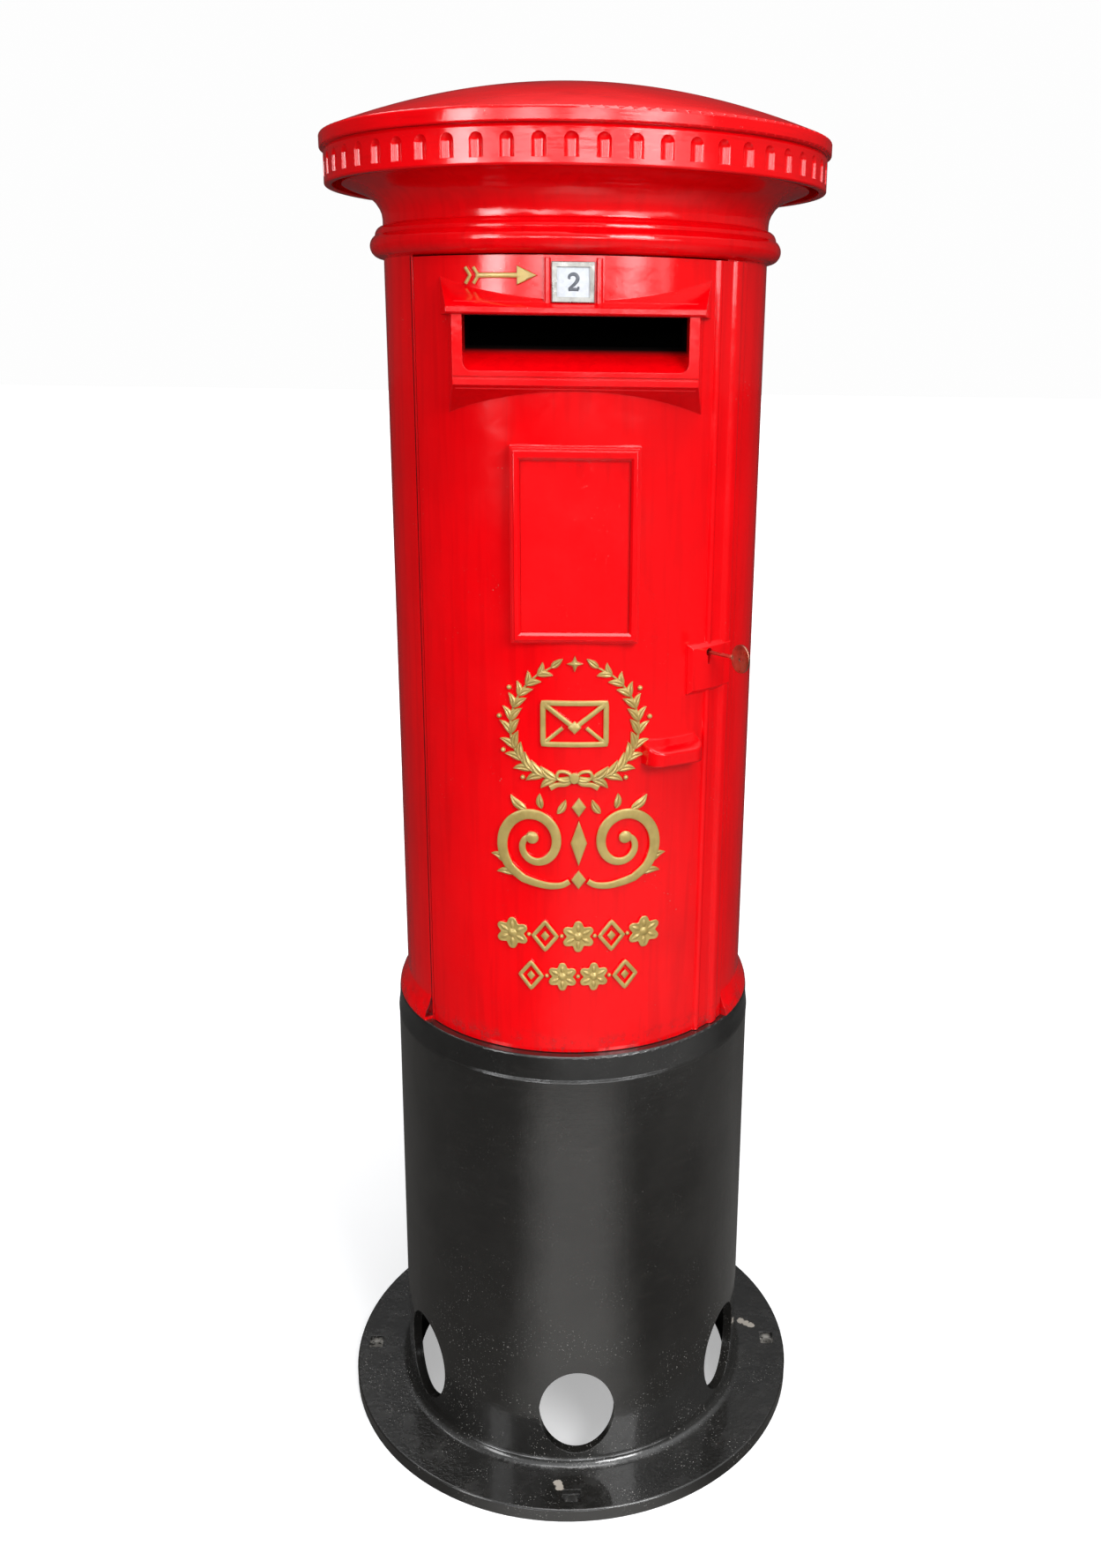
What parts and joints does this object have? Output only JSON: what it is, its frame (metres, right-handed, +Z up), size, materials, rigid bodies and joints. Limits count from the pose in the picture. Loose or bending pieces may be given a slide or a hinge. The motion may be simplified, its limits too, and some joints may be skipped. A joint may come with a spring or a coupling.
{
  "type": "post box",
  "caption": "Cast-iron pillar post box with a domed cap, a hooded letter slot, a curved hinged door with a key lock and a flanged plinth.",
  "frame": {"origin": "centre of the underside of the base flange", "axes": "+Z up along the drum's axis; the door and letter slot face -Y; +X to the right of someone facing the door"},
  "size_m": [0.708, 0.708, 1.9308],
  "materials": {
    "red_paint": "gloss",
    "black_paint": "satin",
    "cast_iron": "rough",
    "zinc_steel": "satin",
    "bright_metal": "satin",
    "brass": "satin",
    "key_metal": "worn",
    "white_enamel": "gloss",
    "galvanised": "matte"
  },
  "bodies": {
    "carcass": {"base_casting": "black_paint", "floor_plate": "cast_iron", "body_casting": "red_paint", "joint_bolts": "zinc_steel", "joint_nuts": "zinc_steel", "cap_casting": "red_paint", "cap_bolts": "zinc_steel", "lower_hinge_bracket": "cast_iron", "upper_hinge_bracket": "cast_iron", "hinge_bushes": "brass", "hinge_bracket_screws": "zinc_steel", "lock_keep": "zinc_steel", "keep_screws": "zinc_steel", "wire_guard": "galvanised", "guard_brackets": "galvanised", "guard_screws": "zinc_steel"},
    "door": {"door_casting": "red_paint", "notice_frame": "red_paint", "notice_plate": "red_paint", "notice_screws": "zinc_steel", "tablet_frame": "bright_metal", "aperture_chute": "black_paint", "chute_screws": "zinc_steel", "lower_door_lug": "cast_iron", "upper_door_lug": "cast_iron", "hinge_pins": "zinc_steel", "door_lug_screws": "zinc_steel", "lock_case": "brass", "lock_cover": "brass", "lock_screws": "zinc_steel", "lever_pack": "brass"},
    "bolt": {"lock_bolt": "brass"},
    "curtain": {"lock_curtain": "brass"},
    "key": {"key": "key_metal"},
    "tablet": {"day_tablet": "white_enamel"}
  },
  "joints": [
    {"name": "door_hinge", "type": "hinge", "parent": "carcass", "child": "door", "pos_m": [-0.16178, -0.16066, 0], "axis": [0, 0, -1], "range_deg": [0, 100]},
    {"name": "key_turn", "type": "hinge", "parent": "door", "child": "curtain", "pos_m": [0.15509, -0.16984, 1.243], "axis": [0.6743, -0.7385, 0], "range_deg": [0, 62]},
    {"name": "bolt_throw", "type": "slide", "parent": "door", "child": "bolt", "axis": [0.7385, 0.6743, 0], "range_m": [0, 0.0075]},
    {"name": "key_withdraw", "type": "slide", "parent": "curtain", "child": "key", "axis": [0.6743, -0.7385, 0], "range_m": [0, 0.06]},
    {"name": "tablet_slide", "type": "slide", "parent": "door", "child": "tablet", "axis": [0, 1, 0], "range_m": [0, 0.02]}
  ],
  "couplings": [
    {"joint": "key_turn", "follows": "bolt_throw", "rad_per_m": 139.63}
  ]
}
